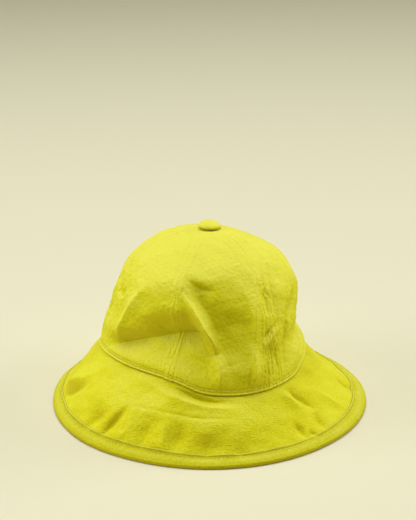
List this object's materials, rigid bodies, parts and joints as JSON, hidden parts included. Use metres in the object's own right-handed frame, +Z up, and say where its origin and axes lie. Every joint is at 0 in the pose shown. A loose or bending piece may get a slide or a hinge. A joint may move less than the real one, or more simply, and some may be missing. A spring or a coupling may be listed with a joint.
{
  "type": "cotton bucket hat",
  "caption": "Soft cotton bucket hat with a panelled round crown, covered top button and a wide sloping brim with a bound edge.",
  "frame": {"origin": "middle of the hat's box, on the plane that the brim's bound edge rests on", "axes": "+Z up, front of the hat towards -Y, +X to the right seen from the front camera"},
  "size_m": [0.2909, 0.2788, 0.1678],
  "materials": {
    "cotton_cloth": "matte washed cotton",
    "cotton_binding": "matte washed cotton"
  },
  "bodies": {
    "root": {"crown_panel_1": "cotton_cloth", "crown_panel_2": "cotton_cloth", "crown_panel_3": "cotton_cloth", "crown_panel_4": "cotton_cloth", "crown_panel_5": "cotton_cloth", "crown_panel_6": "cotton_cloth", "brim": "cotton_cloth", "brim_binding": "cotton_binding", "top_button": "cotton_cloth"}
  },
  "joints": []
}
